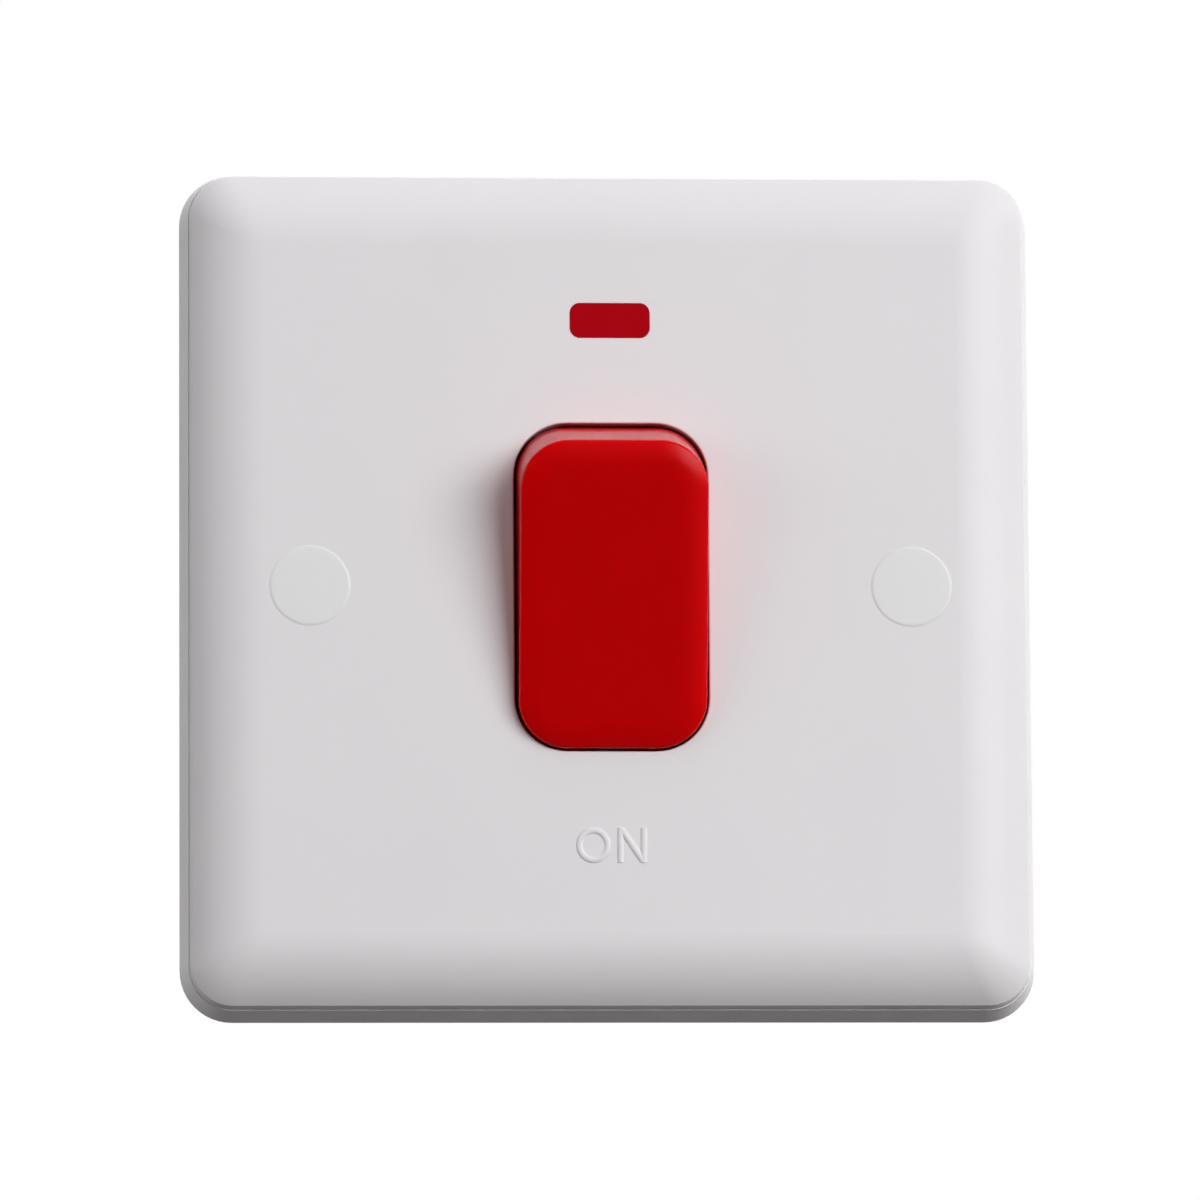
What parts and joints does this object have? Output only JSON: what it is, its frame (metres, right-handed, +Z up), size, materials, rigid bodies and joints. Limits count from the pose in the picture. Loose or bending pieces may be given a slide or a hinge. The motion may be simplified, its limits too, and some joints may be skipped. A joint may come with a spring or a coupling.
{
  "type": "double pole rocker switch",
  "caption": "Square white wall plate with a red rocker that isolates line and neutral, a flush red lamp window and capped fixing screws.",
  "frame": {"origin": "centre of the plate's rear rim, on the wall", "axes": "+X right, +Z up, +Y into the wall, as seen by a user facing the switch"},
  "size_m": [0.086, 0.0385, 0.086],
  "materials": {
    "white_moulding": "smooth white urea moulding, soft gloss",
    "red_moulding": "glossy red moulding",
    "red_lens": "translucent deep red lens",
    "base_moulding": "matt off-white thermoset moulding",
    "brass": "machined brass",
    "copper": "pressed copper strip",
    "contact_silver": "silver alloy contact",
    "plated_steel": "bright zinc plated steel",
    "spring_steel": "drawn spring wire",
    "plunger_nylon": "natural nylon",
    "lamp_glass": "clear glass envelope",
    "resistor_body": "tan lacquer",
    "tinned_wire": "tinned copper wire"
  },
  "bodies": {
    "housing": {"front_plate": "white_moulding", "neon_lens": "red_lens", "screw_cap_left": "white_moulding", "screw_cap_right": "white_moulding", "fixing_screw_left": "plated_steel", "fixing_screw_right": "plated_steel", "housing_screws": "plated_steel", "switch_base": "base_moulding", "mechanism_cover": "base_moulding", "earth_terminal": "brass", "earth_screws": "brass", "neon_lamp": "lamp_glass", "resistor": "resistor_body", "neutral_lead": "tinned_wire", "line_lead": "tinned_wire", "link_lead": "tinned_wire", "neutral_supply_terminal": "brass", "neutral_load_terminal": "brass", "neutral_supply_screws": "plated_steel", "neutral_load_screws": "plated_steel", "neutral_fixed_strip": "brass", "neutral_pivot_bracket": "brass", "neutral_fixed_contact": "contact_silver", "line_supply_terminal": "brass", "line_load_terminal": "brass", "line_supply_screws": "plated_steel", "line_load_screws": "plated_steel", "line_fixed_strip": "brass", "line_pivot_bracket": "brass", "line_fixed_contact": "contact_silver"},
    "rocker": {"rocker": "red_moulding", "neutral_plunger": "plunger_nylon", "neutral_spring": "spring_steel", "line_plunger": "plunger_nylon", "line_spring": "spring_steel"},
    "neutral_arm": {"neutral_contact_arm": "copper", "neutral_moving_contact": "contact_silver"},
    "line_arm": {"line_contact_arm": "copper", "line_moving_contact": "contact_silver"}
  },
  "joints": [
    {"name": "rocker_tilt", "type": "hinge", "parent": "housing", "child": "rocker", "pos_m": [0, -0.0064, 0], "axis": [-1, 0, 0], "range_deg": [0, 24]},
    {"name": "neutral_arm_tilt", "type": "hinge", "parent": "housing", "child": "neutral_arm", "pos_m": [-0.0052, 0.00383, 0], "axis": [-1, 0, 0], "range_deg": [-13, 0]},
    {"name": "line_arm_tilt", "type": "hinge", "parent": "housing", "child": "line_arm", "pos_m": [0.0052, 0.00383, 0], "axis": [-1, 0, 0], "range_deg": [-13, 0]}
  ],
  "couplings": [
    {"joint": "neutral_arm_tilt", "follows": "rocker_tilt", "ratio": -0.54167},
    {"joint": "line_arm_tilt", "follows": "rocker_tilt", "ratio": -0.54167}
  ]
}
